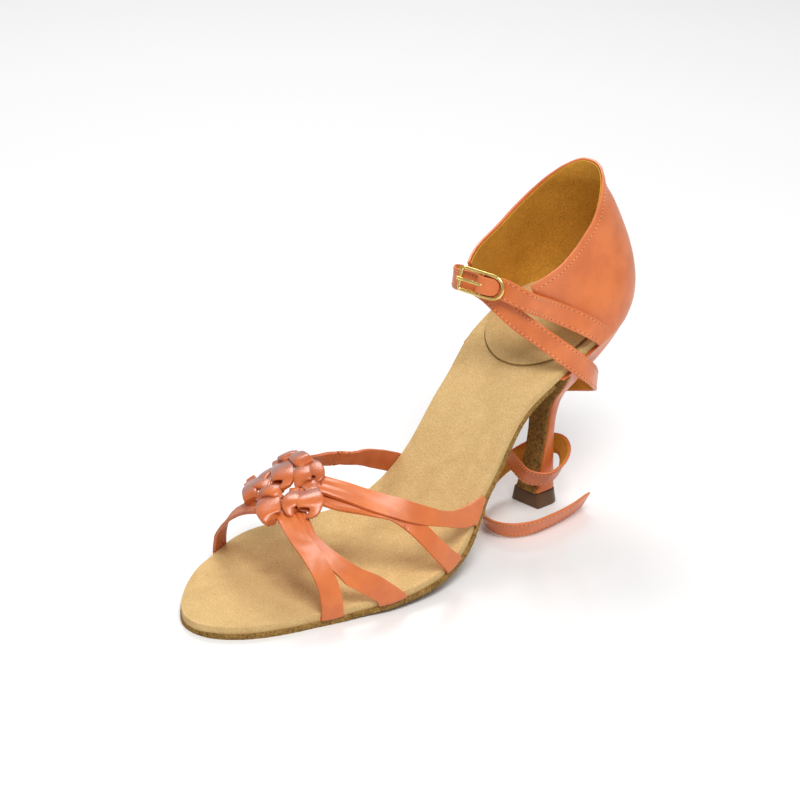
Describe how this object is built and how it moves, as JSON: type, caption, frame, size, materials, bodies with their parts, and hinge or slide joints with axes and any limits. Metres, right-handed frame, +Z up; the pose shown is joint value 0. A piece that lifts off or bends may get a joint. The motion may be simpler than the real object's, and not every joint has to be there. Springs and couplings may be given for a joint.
{
  "type": "ballroom dance shoe",
  "caption": "Open ballroom sandal for the left foot on a flared high heel, satin straps knotted over the toes, suede sole, a long strap round the heel.",
  "frame": {"origin": "middle of the heel tip's bottom face, on the floor", "axes": "+Z up, -Y towards the toe, +X towards the lateral (outer) side of a left shoe"},
  "size_m": [0.084, 0.2217, 0.138],
  "materials": {
    "satin": "satin",
    "insole_suede": "suede",
    "sole_suede": "rough suede",
    "tip": "satin",
    "gold": "polished"
  },
  "bodies": {
    "root": {"outsole": "sole_suede", "insole": "insole_suede", "heel_pad": "insole_suede", "heel": "satin", "heel_tip": "tip", "breast_cover": "sole_suede", "counter": "satin", "toe_straps": "satin", "buckle_strap": "satin", "buckle_frame": "gold", "buckle_prong": "gold", "long_strap": "satin"}
  },
  "joints": []
}
